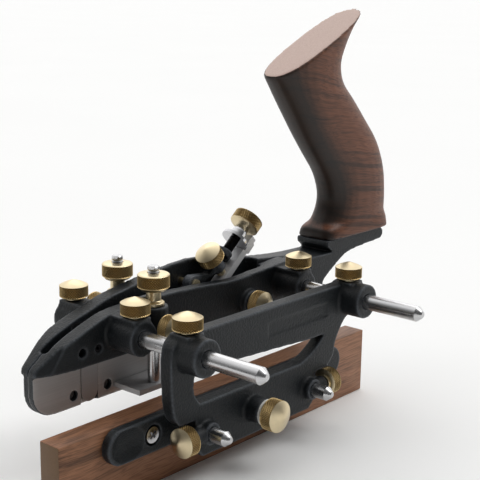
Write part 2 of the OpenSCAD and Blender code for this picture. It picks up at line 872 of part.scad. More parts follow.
module clamp_screw() {
    color([0.78, 0.62, 0.36])
    on_blade()
        translate([clamp_s, 0, fit])
            thumbscrew(hub_top + neck_gap - fit);
}

// Adjuster screw along the blade, with its knob beyond the blade's end
module adjuster_screw() {
    r = knob_r + 1.2;
    color([0.78, 0.62, 0.36])
    on_blade()
        translate([spindle_s, 0, spindle_rise])
            rotate([0, 90, 0])
                rotate_extrude()
                    polygon([
                        [0, 0], [spindle_d / 2 - 0.6, 0], [spindle_d / 2, 0.6], [spindle_d / 2, spindle_l],
                        [r - 1, spindle_l], [r, spindle_l + 1], [r, spindle_l + knob_h],
                        [r - 0.4, spindle_l + 0.4 + knob_h], [0.8, spindle_l + knob_h + cone_h],
                        [0, spindle_l + knob_h + cone_h]
                    ]);
}
module drive_flange() {
    color([0.75, 0.75, 0.77])
    on_blade()
        translate([flange_s, 0, spindle_rise])
            rotate([0, 90, 0])
                rotate_extrude()
                    polygon([
                        [spindle_d / 2, -0.8], [spindle_rise + 0.9, -0.8], [spindle_rise + 0.9, 0.8],
                        [spindle_d / 2 + 1.4, 0.8], [spindle_d / 2 + 1.4, 4.5], [spindle_d / 2, 4.5]
                    ]);
}

// Outline of the fence frame: top beam, two arms and lower beam round a window
module frame_outline() {
    beam_front = guide_x - 6.6;
    beam_rear = guide_rear + 6.6;
    inner_rear = rod_spacing - 22;
    for (x = [0, rod_spacing])
        translate([x, rod_h])
            circle(r = boss_r + 0.7);
    polygon(concat(
        [[0, beam_top], [rod_spacing, beam_top]],
        curve([
            [rod_spacing - 2, rod_h - 10], [inner_rear, beam_low - 4], [rod_spacing / 2, beam_low - 2],
            [14, beam_low + 0.5], [2, beam_low - 2]
        ])
    ));
    polygon(concat(
        curve([
            [0, rod_h + boss_r], [-boss_r + 1.4, rod_h + boss_r - 2.2], [-boss_r - 2, rod_h],
            [-boss_r - 1.8, rod_h - 18], [-boss_r, arm_low + 5], [-boss_r + 4, arm_low]
        ]),
        [[beam_front + 6, arm_low], [beam_front + 6, window_low]],
        curve([[beam_front + 3, window_low], [4.4, window_low + 6], [4.4, beam_low - 2], [8, rod_h]])
    ));
    polygon(concat(
        [[beam_rear - 2, arm_low], [beam_rear + 10, arm_low]],
        curve([
            [beam_rear + 15, arm_low + 4.5], [rod_spacing - 9.5, arm_low + 13], [rod_spacing - 2, rod_h - 11],
            [rod_spacing + 8, rod_h - 6]
        ]),
        curve([
            [inner_rear + 8, rod_h - 9], [inner_rear - 1, beam_low - 7], [inner_rear - 9, window_low + 3],
            [inner_rear - 17, window_low]
        ])
    ));
    polygon([
        [beam_front, frame_low + 5], [beam_front + 5, frame_low], [beam_rear - 5, frame_low],
        [beam_rear, frame_low + 5], [beam_rear, window_low], [beam_front, window_low]
    ]);
}

module fence_frame() {
    panel = [48, 7.5];
    color([0.09, 0.10, 0.11])
    difference() {
        union() {
            plate(frame_y0, frame_y1) frame_outline();
            for (x = [0, rod_spacing]) {
                y_cyl(x, rod_h, boss_y0, frame_y1 + 1.5, boss_r + 0.4);
                boss_pad(x, frame_y0 - 5, frame_y1 - 0.6);
            }
            for (x = [guide_x, guide_rear])
                y_cyl(x, guide_z, collar_y0, frame_y0 + 1, collar_r);
            x_cyl(guide_lock_y, guide_z, guide_x - collar_r - guide_lock_reach, guide_x, guide_boss_r);
            x_cyl(guide_lock_y, guide_z, guide_rear, guide_rear + collar_r + guide_lock_reach, guide_boss_r);
            y_cyl(fine_x, fine_z, fine_boss_y0, frame_y0 + 1, screw_r + 4);
        }
        for (x = [0, rod_spacing]) {
            y_cyl(x, rod_h, boss_y0 - 1, frame_y1 + 3, bore_r);
            lock_bore(x, frame_y0 + 0.5);
        }
        for (x = [guide_x, guide_rear])
            y_cyl(x, guide_z, collar_y0 - 4, frame_y1 + 1, guide_r + fit);
        y_cyl(fine_x, fine_z, fine_boss_y0 - 1, frame_y1 + 1, screw_bore);
        x_cyl(guide_lock_y, guide_z, guide_x - collar_r - guide_lock_reach - 1, guide_x, screw_bore);
        x_cyl(guide_lock_y, guide_z, guide_rear, guide_rear + collar_r + guide_lock_reach + 1, screw_bore);
        translate([rod_spacing / 2 - 5, frame_y0 - 1, rod_h - 6.3])
            cube([panel[0], 1.5, panel[1]]);
    }
}

module fence_bar() {
    dish_r = 13;
    dish_x = -bar_front + 12.1;
    dish_y = bar_y0 - dish_r + 2.6;
    color([0.09, 0.10, 0.11])
    difference() {
        plate(bar_y0, bar_y1)
            union() {
                for (x = [-bar_front, bar_rear - bar_h])
                    translate([x + bar_h / 2, bar_z])
                        circle(r = bar_h / 2);
                translate([-bar_front + bar_h / 2, bar_z - bar_h / 2])
                    square([bar_front + bar_rear - bar_h, bar_h]);
            }
        for (x = [dish_x - 2.2, dish_x + 2.2])
            translate([x, dish_y, bar_z])
                sphere(r = dish_r);
        x_cyl(dish_y, bar_z, dish_x - 2.2, dish_x + 2.2, dish_r);
        for (x = [guide_x, guide_rear])
            y_cyl(x, guide_z, bar_y0 - 1, bar_y1 + 1, guide_r + fit);
        y_cyl(fine_x, fine_z, bar_y0 - 1, bar_y1 + 1, screw_bore);
        for (x = strip_screw_x) {
            y_cyl(x, bar_z, bar_y0 - 1, bar_y1 + 1, strip_screw_d / 2 + fit);
            y_cyl(x, bar_z, bar_y0 - 1, bar_y0 + head_h + 0.3, strip_head_r + 1);
        }
    }
}

module guide_rods() {
    length = bar_y1 - guide_end;
    color([0.75, 0.75, 0.77])
    for (x = [guide_x, guide_rear])
        translate([x, bar_y1, guide_z])
            rotate([90, 0, 0])
                rotate_extrude()
                    polygon([
                        [0, 0], [guide_r, 0], [guide_r, length - 3], [guide_r - 1.8, length - 0.5],
                        [guide_r - 2.4, length], [0, length]
                    ]);
}

module fine_screw() {
    color([0.78, 0.62, 0.36])
    translate([fine_x, fine_end, fine_z])
        rotate([90, 0, 0])
            thumbscrew(fine_end - fine_boss_y0 + washer_t + 2 * fit, knob_r + 0.8, knob_h + 0.6);
}

module fine_washer() {
    color([0.92, 0.92, 0.90])
    difference() {
        y_cyl(fine_x, fine_z, fine_boss_y0 - washer_t - fit, fine_boss_y0 - fit, screw_r + 4);
        y_cyl(fine_x, fine_z, fine_boss_y0 - washer_t - 1, fine_boss_y0, screw_bore);
    }
}

module guide_lock(x, turn) {
    color([0.78, 0.62, 0.36])
    translate([x + (turn > 0 ? guide_r + fit : -guide_r - fit), guide_lock_y, guide_z])
        rotate([0, turn, 0])
            thumbscrew(collar_r + guide_lock_reach - guide_r - fit + neck_gap);
}
module guide_lock_front() {
    guide_lock(guide_x, -90);
}
module guide_lock_rear() {
    guide_lock(guide_rear, 90);
}

module wooden_strip() {
    color([0.45, 0.27, 0.18])
    difference() {
        translate([-strip_front, bar_y1, strip_top - strip_h])
            cube([strip_l, strip_t, strip_h]);
        for (x = strip_screw_x)
            y_cyl(x, bar_z, bar_y1 - 1, bar_y1 + 9.5, strip_screw_d / 2 + fit);
        y_cyl(fine_x, fine_z, bar_y1 - 1, bar_y1 + 6, screw_r + 0.5);
    }
}

module strip_screws() {
    color([0.72, 0.72, 0.74])
    for (x = strip_screw_x)
        difference() {
            union() {
                y_cyl(x, bar_z, bar_y0 + 0.4, bar_y0 + head_h + 0.3, strip_head_r);
                y_cyl(x, bar_z, bar_y0 + head_h, bar_y1 + 9, strip_screw_d / 2);
            }
            for (turn = [0, 90])
                translate([x, bar_y0, bar_z])
                    rotate([0, turn + 45, 0])
                        cube([4.4, 3.2, 1], center = true);
        }
}

main_body();
handle();
handle_screws();
front_rod();
rear_rod();
main_lock();
sliding_section();
slide_lock_front();
slide_lock_rear();
spacing_screw();
near_stop_foot();
near_stop_post();
near_stop_nut();
near_stop_lock();
far_stop_foot();
far_stop_post();
far_stop_nut();
far_stop_lock();
near_nicker();
near_nicker_screw();
far_nicker();
far_nicker_screw();
blade();
clamp_lever();
clamp_pivot();
clamp_screw();
adjuster_screw();
drive_flange();
fence_frame();
fence_lock_front();
fence_lock_rear();
fence_bar();
guide_rods();
fine_screw();
fine_washer();
guide_lock_front();
guide_lock_rear();
wooden_strip();
strip_screws();
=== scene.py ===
"""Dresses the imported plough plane: castings, wood, brass knobs and steel, in the part's own frame."""

import json
import math
from collections import namedtuple

import bmesh
import bpy
from mathutils import Matrix, Vector


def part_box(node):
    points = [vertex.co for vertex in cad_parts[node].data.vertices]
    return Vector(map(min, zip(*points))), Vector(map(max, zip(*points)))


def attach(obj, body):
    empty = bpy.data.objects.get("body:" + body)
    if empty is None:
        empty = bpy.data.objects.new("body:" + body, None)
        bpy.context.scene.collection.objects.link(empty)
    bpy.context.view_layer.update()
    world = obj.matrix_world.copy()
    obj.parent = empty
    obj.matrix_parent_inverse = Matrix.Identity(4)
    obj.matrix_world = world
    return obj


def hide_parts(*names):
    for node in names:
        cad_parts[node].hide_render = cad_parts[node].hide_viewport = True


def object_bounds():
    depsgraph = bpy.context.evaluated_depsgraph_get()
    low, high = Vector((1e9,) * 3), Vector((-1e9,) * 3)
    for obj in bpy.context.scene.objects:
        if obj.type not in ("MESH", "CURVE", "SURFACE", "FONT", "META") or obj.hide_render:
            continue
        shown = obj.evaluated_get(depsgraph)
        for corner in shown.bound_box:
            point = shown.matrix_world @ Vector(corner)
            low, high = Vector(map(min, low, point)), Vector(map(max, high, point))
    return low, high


bl_info = {
    "name": "Plough plane",
    "version": (1, 0, 0),
    "blender": (4, 5, 0),
    "location": "View3D > Sidebar > Plough plane",
    "description": "Builds the visible pieces of a cast plough plane around its packed solids",
    "category": "Object",
}

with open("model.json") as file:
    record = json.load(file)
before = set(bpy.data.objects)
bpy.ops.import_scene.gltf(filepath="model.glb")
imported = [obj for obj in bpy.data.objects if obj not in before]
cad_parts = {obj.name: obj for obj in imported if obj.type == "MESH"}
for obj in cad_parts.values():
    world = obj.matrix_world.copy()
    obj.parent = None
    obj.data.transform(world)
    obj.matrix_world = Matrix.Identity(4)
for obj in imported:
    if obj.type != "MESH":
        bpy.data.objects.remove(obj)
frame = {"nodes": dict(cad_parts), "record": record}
CAD_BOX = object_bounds()
FULL_TURN = 2 * math.pi
JOINTS = {joint["child"]: joint for joint in frame["record"]["behaviour"]["joints"]}
BODY_OF = {
    node: body
    for body, nodes in frame["record"]["behaviour"]["bodies"].items()
    for node in nodes
}
SLOT_OF = {part["node"]: part["material_slot"] for part in frame["record"]["subparts"]}


# Units and colours

def mm(value):
    """Millimetres to metres."""
    return value / 1000.0


def linear(hex_text):
    """An sRGB hex colour as a linear RGBA tuple."""
    channels = [int(hex_text[i:i + 2], 16) / 255.0 for i in (1, 3, 5)]
    return tuple(c / 12.92 if c <= 0.04045 else ((c + 0.055) / 1.055) ** 2.4 for c in channels) + (1.0,)


def rgba(colour, share=1.0):
    """A linear colour times a share, with full alpha."""
    return tuple(min(1.0, c * share) for c in colour[:3]) + (1.0,)


# Heights and planes of the castings, as the solids have them
SOLE_TO_ARCH = mm(20.8)
SKATE_NEAR = mm(-6.6)
SKATE_FAR = mm(2.6)

# Slope in degrees of the cut across the handle's top, and the side of the handle, its front, that is painted
# dark as shade
HANDLE_CUT_SLOPE = 29.0
SHADED_FRONT_SIDE = (-0.93, -0.25, -0.27)

# End grain of a wooden piece, and the painted sheen across the handle's top: where its surface faces, how
# nearly, from which height up, and its two tones
EndGrainAndSheen = namedtuple("EndGrainAndSheen", "normal both_ends level above dark light")

# Points nearer to each other than this, in metres, count as one
TOUCHING = 1e-6

# Level of the groove attribute on the ridges of a knurl, where the floor of a groove is 1
RIDGE_LEVEL = 0.3

# Thumbscrews: a wide knob has a taller band, and a cone's curve is in shares of its radius and height
WIDE_KNOB = mm(7.5)
WIDE_KNOB_BAND = mm(0.6)
KNOB_NECK_HEIGHT = mm(1.0)
KNOB_NECK_SHARE = 0.62
CONE_CURVE = ((0.72, 0.36), (0.40, 0.70), (0.16, 0.92))
CONE_TIP = mm(0.4)

# Nuts and posts of the depth stops
NUT_HOLE = mm(2.9)
NUT_NECK = mm(3.6)
NUT_HEAD_HEIGHT = mm(7.9)
NUT_CROWN = mm(0.6)
FLANGE_RADIUS = mm(5.2)
FLANGE_HEIGHT = mm(1.7)
STUD_RADIUS = mm(2.85)
STUD_THREAD_DEPTH = mm(0.3)
POST_CLEARANCE = mm(0.2)
POST_FOOT_RADIUS = mm(2.5)
POST_FOOT_HEIGHT = mm(2.5)
SHOULDER_BELOW_NUT = mm(10.05)
SHOULDER_TO_THREAD = mm(10.5)
POST_STEPS = 48

# Blade adjuster
SPINDLE_RADIUS = mm(2.75)
SPINDLE_THREAD_DEPTH = mm(0.5)
SPINDLE_STEPS = 40
HUB_HEIGHT = mm(5.0)
HUB_RADIUS = mm(3.7)
HUB_NECK = mm(3.4)
HUB_STEPS = 48

# Stage: each lamp has a name, a place in metres, an angle in degrees and a strength
FLOOR_REACH = 80.0
FLOOR_GAP = mm(0.2)
LAMP_AIM = (0.06, -0.03, 0.05)
LAMPS = (
    ("key", (0.65, -0.60, 1.25), 25.0, 0.6),
    ("back", (0.7, 0.6, 0.9), 40.0, 0.25))

# The backdrop behind the plane and above it is the brightest part of the studio
BRIGHT_SKY = (0.620, 0.535, 0.574)
SKY_SPREAD = (-0.15, 0.85)
SKY_STRENGTH = (0.14, 1.62)

# The photograph's view: place in metres, angles in degrees, focal length in pixels of a 480 pixel frame
CAMERA_AT = (-0.3385, -0.3781, 0.1958)
CAMERA_AZIMUTH = -49.24
CAMERA_ELEVATION = 13.31
CAMERA_ROLL = 0.85
CAMERA_FOCAL = 1104.4
CAMERA_CLIP = 0.01
FRAME_PIXELS = 480
SENSOR_MM = 36.0


# Properties that a user would change

def length_setting(name, about, size, least, most):
    """A length property with its default and range in millimetres."""
    return bpy.props.FloatProperty(
        name=name, description=about, default=mm(size), min=mm(least), max=mm(most),
        unit="LENGTH", precision=5)


def passes_setting(name, about, count, most):
    """A count of smoothing passes."""
    return bpy.props.IntProperty(name=name, description=about, default=count, min=0, max=most)


def colour_setting(name, about, hex_text):
    """A colour property with an sRGB hex default."""
    return bpy.props.FloatVectorProperty(
        name=name, description=about, subtype="COLOR", size=3, default=linear(hex_text)[:3])


class PloughSizes(bpy.types.PropertyGroup):
    """Sizes of the visible detail."""

    knurl_pitch: length_setting("Knurl pitch", "Distance between two diamonds of the knurl", 1.25, 0.6, 2.0)
    knurl_depth: length_setting("Knurl depth", "Depth of the grooves between the diamonds", 0.5, 0.05, 0.6)
    band_height: length_setting("Knob band", "Height of the knurled band of a thumbscrew", 6.0, 3.0, 9.0)
    cone_height: length_setting("Knob cone", "Height of the turned cone on a thumbscrew", 2.6, 1.0, 4.0)
    shank_radius: length_setting("Shank radius", "Radius of a thumbscrew's shank", 2.5, 1.5, 3.5)
    thread_pitch: length_setting("Thread pitch", "Distance between crests of a visible thread", 1.0, 0.5, 2.0)
    cast_grain: length_setting("Casting voxel", "Grid that rounds the castings' edges", 0.66, 0.4, 2.0)
    cast_passes: passes_setting("Casting passes", "Smoothing passes that round the castings' edges", 5, 30)
    handle_grain: length_setting("Handle voxel", "Grid that smooths the handle", 0.6, 0.5, 2.0)
    handle_passes: passes_setting("Handle passes", "Smoothing passes over the handle", 28, 40)
    strip_edge: length_setting("Strip edge", "Width of the broken edges of the wooden strip", 0.5, 0.1, 2.0)


class PloughColours(bpy.types.PropertyGroup):
    """Colours of the finishes."""

    paint: colour_setting("Paint", "Black paint of the castings", "#121619")
    # The brass default is pale, a painted highlight for the bright cone tops; satin_brass gives the knurled
    # band a deeper gold.
    brass: colour_setting("Brass", "Satin brass of the knobs", "#E8D7B2")
    steel: colour_setting("Steel", "Ground steel of the rods", "#CFCFD0")
    handle_wood: colour_setting("Handle", "Oiled hardwood of the handle", "#6E4129")
    strip_wood: colour_setting("Strip", "Planed hardwood of the fence strip", "#96694C")


# Helpers for pieces

def finish_piece(name, bm, body, material, replaced=(), sharp=40):
    """Turns a bmesh into a piece that rides on a body and takes a slot's finish."""
    mesh = bpy.data.meshes.new(name)
    bm.to_mesh(mesh)
    bm.free()
    mesh.materials.append(material)
    mesh.polygons.foreach_set("use_smooth", [True] * len(mesh.polygons))
    mesh.set_sharp_from_angle(angle=math.radians(sharp))
    piece = bpy.data.objects.new(name, mesh)
    bpy.context.scene.collection.objects.link(piece)
    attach(piece, body)
    if replaced:
        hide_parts(*replaced)
    return piece


def dress(node, material):
    """Gives a solid that stays on show its own material."""
    slots = frame["nodes"][node].data.materials
    slots.clear()
    slots.append(material)


def softened(node, voxel, passes):
    """A copy of a solid as a bmesh, with its edges rounded as a casting's or a sanded handle's are."""
    bm = bmesh.new()
    bm.from_mesh(frame["nodes"][node].data)
    bmesh.ops.remove_doubles(bm, verts=bm.verts, dist=TOUCHING)
    mesh = bpy.data.meshes.new("copy")
    bm.to_mesh(mesh)
    bm.free()
    copy = bpy.data.objects.new("copy", mesh)
    bpy.context.scene.collection.objects.link(copy)
    remesh = copy.modifiers.new("grid", "REMESH")
    remesh.mode = "VOXEL"
    remesh.voxel_size = voxel
    smooth = copy.modifiers.new("rounding", "SMOOTH")
    smooth.factor = 0.5
    smooth.iterations = passes
    depsgraph = bpy.context.evaluated_depsgraph_get()
    result = bmesh.new()
    result.from_object(copy, depsgraph)
    bpy.data.objects.remove(copy)
    bpy.data.meshes.remove(mesh)
    return result


def settle_order(bm):
    """Sorts points, edges and faces by place, so that each run gives the same mesh."""
    for index, vert in enumerate(sorted(bm.verts, key=lambda item: item.co.to_tuple())):
        vert.index = index
    bm.verts.sort()
    for group in (bm.edges, bm.faces):
        ordered = sorted(group, key=lambda item: sorted(vert.index for vert in item.verts))
        for index, item in enumerate(ordered):
            item.index = index
        group.sort()


def spin_profile(profile, steps):
    """Turns a profile of (radius, height) points round Z into a closed bmesh."""
    bm = bmesh.new()
    verts = [bm.verts.new((radius, 0.0, height)) for radius, height in profile]
    edges = [bm.edges.new(pair) for pair in zip(verts, verts[1:])]
    bmesh.ops.spin(
        bm, geom=verts + edges, cent=(0, 0, 0), axis=(0, 0, 1), dvec=(0, 0, 0),
        angle=FULL_TURN, steps=steps, use_merge=True)
    bmesh.ops.remove_doubles(bm, verts=bm.verts, dist=TOUCHING)
    bmesh.ops.recalc_face_normals(bm, faces=bm.faces)
    settle_order(bm)
    return bm


def knurl_steps(radius, pitch):
    """Even number of steps round a knob that gives the pitch."""
    return 2 * round(FULL_TURN * radius / pitch)


def band_rows(low, high, pitch):
    """Whole rows of the knurl between two heights."""
    return max(2, round((high - low) / pitch))


def band_points(radius, low, high, steps):
    """Profile points of a knurled band, one per row."""
    rows = band_rows(low, high, FULL_TURN * radius / steps)
    return [(radius, low + (high - low) * i / rows) for i in range(rows + 1)]


def thread_points(radius, depth, start, pitch, count):
    """Profile points of a thread, crests and valleys in turn."""
    return [(radius - (depth if i % 2 else 0.0), start + i * pitch / 2) for i in range(count)]


def cut_knurl(bm, radius, low, high, steps, depth):
    """Presses diamonds into the part of a spun shape between two heights at one radius."""
    layer = bm.verts.layers.float.new("groove")
    pitch = FULL_TURN * radius / steps
    rows = band_rows(low, high, pitch)
    step = (high - low) / rows
    groove = set()
    band = set()
    for vert in bm.verts:
        far = math.hypot(vert.co.x, vert.co.y)
        within = low - TOUCHING <= vert.co.z <= high + TOUCHING
        if abs(far - radius) > TOUCHING or not within:
            continue
        column = round(math.atan2(vert.co.y, vert.co.x) / FULL_TURN * steps)
        row = round((vert.co.z - low) / step)
        band.add(vert)
        if (column + row) % 2:
            groove.add(vert)
    for face in list(bm.faces):
        corners = [vert for vert in face.verts if vert in groove]
        if len(face.verts) == 4 and len(corners) == 2 and all(vert in band for vert in face.verts):
            bmesh.utils.face_split(face, corners[0], corners[1])
    for vert in band:
        vert[layer] = RIDGE_LEVEL
    shrink = (radius - depth) / radius
    for vert in groove:
        vert[layer] = 1.0
        vert.co.x *= shrink
        vert.co.y *= shrink


def mark_turning(bm):
    """Stores the way round the axis at each point, which the turning marks follow."""
    layer = bm.verts.layers.float_vector.new("way_round")
    for vert in bm.verts:
        vert[layer] = Vector((-vert.co.y, vert.co.x, 0.0)).normalized()


def knurled(profile, radius, low, high, steps, depth):
    """Spins a profile and knurls its band between two heights."""
    bm = spin_profile(profile, steps)
    cut_knurl(bm, radius, low, high, steps, depth)
    mark_turning(bm)
    return bm


def knob_profile(radius, start, band, cone, steps):
    """Profile of a knob from its underside to its tip, and the heights of its knurl."""
    top = start + band
    low, high = start + mm(0.55), top - mm(0.2)
    curve = [(radius * out, top + cone * up) for out, up in CONE_CURVE]
    profile = [
        (radius - mm(0.75), start), (radius - mm(0.12), low - mm(0.08)),
        *band_points(radius, low, high, steps),
        (radius - mm(0.1), high + mm(0.1)), (radius - mm(0.35), top + mm(0.05)),
        *curve, (CONE_TIP, top + cone * 0.99), (0.0, top + cone)]
    return profile, low, high


def turned_frame(node):
    """Tip, direction, length and radius of a turned solid, from its joint's axis and its points."""
    joint = JOINTS[BODY_OF[node]]
    origin = Vector(joint["pos_m"])
    direction = Vector(joint["axis"]).normalized()
    along = []
    for vert in frame["nodes"][node].data.vertices:
        offset = vert.co - origin
        height = offset.dot(direction)
        along.append((height, (offset - direction * height).length))
    low = min(height for height, _ in along)
    high = max(height for height, _ in along)
    radius = max(far for _, far in along)
    wide = [height for height, far in along if far > radius * 0.98]
    if sum(wide) / len(wide) < (low + high) / 2:
        direction = -direction
        low, high = -high, -low
    return origin + direction * low, direction, high - low, radius


def placed(bm, tip, direction):
    """Moves a shape made along Z to a tip and a direction."""
    turn = direction.to_track_quat("Z", "Y").to_matrix()
    bmesh.ops.transform(bm, matrix=Matrix.Translation(tip) @ turn.to_4x4(), verts=bm.verts)
    layer = bm.verts.layers.float_vector.get("way_round")
    if layer:
        for vert in bm.verts:
            vert[layer] = turn @ vert[layer]
    return bm


# Helpers for materials

def feed(tree, node, sources):
    """Gives each socket of a node a plain value or another node's output."""
    for socket, source in sources.items():
        if isinstance(source, bpy.types.NodeSocket):
            tree.links.new(source, node.inputs[socket])
        else:
            node.inputs[socket].default_value = source


def add(tree, kind, sources=None, **settings):
    """Adds one shader node with its settings and its sockets' sources."""
    node = tree.nodes.new(kind)
    for key, value in settings.items():
        setattr(node, key, value)
    feed(tree, node, sources or {})
    return node


def start_material(name):
    """A new node material, its tree, its shader and the place on the piece."""
    material = bpy.data.materials.get(name)
    if material:
        bpy.data.materials.remove(material)
    material = bpy.data.materials.new(name)
    material.use_nodes = True
    tree = material.node_tree
    where = add(tree, "ShaderNodeTexCoord").outputs["Object"]
    return material, tree, tree.nodes["Principled BSDF"], where


def noise(tree, place, scale, detail, roughness=0.5, output="Fac"):
    """A noise pattern at a place."""
    sources = {"Vector": place, "Scale": scale, "Detail": detail, "Roughness": roughness}
    return add(tree, "ShaderNodeTexNoise", sources).outputs[output]


def stretched(tree, place, sizes):
    """A place measured in sizes of its own along X, Y and Z, given in millimetres."""
    sources = {"Vector": place, "Scale": tuple(1 / mm(size) for size in sizes)}
    return add(tree, "ShaderNodeMapping", sources).outputs["Vector"]


def blend(tree, factor, first, second, kind="MIX"):
    """Two colours mixed by a factor."""
    sources = {"Factor": factor, "A": first, "B": second}
    return add(tree, "ShaderNodeMix", sources, data_type="RGBA", blend_type=kind).outputs["Result"]


def ranged(tree, value, goal, source=(0.0, 1.0), curve="LINEAR"):
    """A value moved from one range to another."""
    sources = {
        "Value": value, "From Min": source[0], "From Max": source[1], "To Min": goal[0], "To Max": goal[1]}
    return add(tree, "ShaderNodeMapRange", sources, interpolation_type=curve).outputs["Result"]


def reckon(tree, operation, first, second=0.0):
    """One step of arithmetic."""
    return add(tree, "ShaderNodeMath", {0: first, 1: second}, operation=operation).outputs[0]


def vector_step(tree, operation, first, second, output="Vector"):
    """One step of arithmetic on vectors."""
    return add(tree, "ShaderNodeVectorMath", {0: first, 1: second}, operation=operation).outputs[output]


def bumped(tree, height, strength, distance):
    """A surface normal tilted by a height pattern."""
    sources = {"Height": height, "Strength": strength, "Distance": distance}
    return add(tree, "ShaderNodeBump", sources).outputs["Normal"]


def surface(tree, output):
    """An output of the surface's own geometry, such as its normal."""
    return add(tree, "ShaderNodeNewGeometry").outputs[output]


# Finishes

def painted_iron(name, colour, ground):
    """Satin black enamel on sand-cast iron: a fine pebbled skin, with convex edges made paler as a painted
    highlight.
    """
    material, tree, shader, where = start_material(name)
    pebble = noise(tree, where, 1 / mm(1.1), 3.0, 0.6)
    cloud = noise(tree, where, 1 / mm(22.0), 2.0)
    tone = blend(tree, cloud, rgba(colour, 0.75), rgba(colour, 1.5))
    # Painted highlight: where pointiness finds convex edges, the pebbled enamel is mixed toward pale grey
    # #6A6F76.
    edge = add(tree, "ShaderNodeValToRGB", {"Fac": surface(tree, "Pointiness")})
    edge.color_ramp.elements[0].position = 0.505
    edge.color_ramp.elements[1].position = 0.56
    edge_highlight = reckon(tree, "MULTIPLY", edge.outputs["Color"], pebble)
    skin = blend(tree, edge_highlight, tone, linear("#6A6F76"))
    satin = ranged(tree, pebble, (0.36, 0.56))
    relief = 0.9
    if ground:
        mask = ground_faces(tree, where)
        scratch = noise(tree, stretched(tree, where, (30.0, 2.0, 0.5)), 1.0, 3.0)
        bare = blend(tree, scratch, linear("#A5A4A4"), linear("#BDBBBA"))
        skin = blend(tree, mask, skin, bare)
        satin = add(tree, "ShaderNodeMix", {"Factor": mask, "A": satin, "B": 0.5}).outputs["Result"]
        relief = ranged(tree, mask, (0.9, 0.03))
        feed(tree, shader, {"Metallic": reckon(tree, "MULTIPLY", mask, 0.4)})
    feed(tree, shader, {
        "Base Color": skin, "Roughness": satin, "Specular IOR Level": 0.32,
        "Normal": bumped(tree, pebble, relief, mm(0.45))})
    return material


def ground_faces(tree, where):
    """1 on the skates' sides and sole, which are machined bare, and 0 on painted iron."""
    spot = add(tree, "ShaderNodeSeparateXYZ", {"Vector": where})
    facing = add(tree, "ShaderNodeSeparateXYZ", {"Vector": surface(tree, "Normal")})
    side = reckon(tree, "ABSOLUTE", facing.outputs["Y"])
    down = reckon(tree, "MULTIPLY", facing.outputs["Z"], -1.0)
    flat = reckon(tree, "MAXIMUM", side, down)
    mask = 1.0
    for operation, measure, limit in (
            ("GREATER_THAN", flat, 0.85), ("LESS_THAN", spot.outputs["Z"], SOLE_TO_ARCH),
            ("GREATER_THAN", spot.outputs["Y"], SKATE_NEAR), ("LESS_THAN", spot.outputs["Y"], SKATE_FAR)):
        mask = reckon(tree, "MULTIPLY", mask, reckon(tree, operation, measure, limit))
    return mask


def satin_brass(name, colour, turned):
    """Lathe-turned brass: cones painted pale as a painted highlight, stretched highlights, a deeper gold
    knurl and painted shade in its grooves.
    """
    material, tree, shader, where = start_material(name)
    cloud = noise(tree, where, 1 / mm(3.0), 4.0)
    tone = blend(tree, cloud, rgba(colour, 0.84), rgba(colour))
    depth = add(tree, "ShaderNodeAttribute", attribute_name="groove").outputs["Fac"]
    # Lit and shaded copies of one brass: the pale setting is a painted highlight on the cones, and the
    # knurled band is mixed toward deeper gold #E0C48E.
    knurl = ranged(tree, depth, (0.0, 1.0), (0.0, RIDGE_LEVEL))
    painted_pale_tops_gold_band = blend(tree, knurl, tone, linear("#E0C48E"))
    # Painted shade: the knurl's grooves are darkened toward brown #6A5432, where shade falls in them.
    groove_shade = ranged(tree, depth, (0.0, 0.75), (RIDGE_LEVEL, 0.85))
    groove_shaded = blend(tree, groove_shade, painted_pale_tops_gold_band, linear("#6A5432"))
    if turned:
        way = add(tree, "ShaderNodeAttribute", attribute_name="way_round").outputs["Vector"]
        tangent = add(tree, "ShaderNodeVectorTransform", {"Vector": way},
                      vector_type="VECTOR", convert_from="OBJECT", convert_to="WORLD")
        feed(tree, shader, {"Anisotropic": 0.75, "Tangent": tangent.outputs["Vector"]})
    feed(tree, shader, {
        "Base Color": groove_shaded, "Roughness": ranged(tree, cloud, (0.27, 0.36)), "Metallic": 1.0})
    return material


def ground_steel(name, colour, roughness, lines, metal=1.0):
    """Ground or turned steel: fine lines across it that stretch the highlight."""
    material, tree, shader, where = start_material(name)
    scratch = noise(tree, stretched(tree, where, lines), 1.0, 4.0)
    smear = noise(tree, where, 1 / mm(9.0), 2.0)
    feed(tree, shader, {
        "Base Color": blend(tree, scratch, rgba(colour, 0.82), rgba(colour)),
        "Roughness": ranged(tree, smear, (roughness * 0.75, roughness * 1.3)),
        "Metallic": metal, "Normal": bumped(tree, scratch, 0.12, mm(0.03))})
    return material


def white_nylon(name):
    """Moulded white nylon with a faint mottled gloss."""
    material, tree, shader, where = start_material(name)
    mottle = noise(tree, where, 1 / mm(1.5), 2.0)
    feed(tree, shader, {
        "Base Color": blend(tree, mottle, linear("#D9D8D2"), linear("#EDECE7")),
        "Roughness": ranged(tree, mottle, (0.40, 0.55))})
    return material


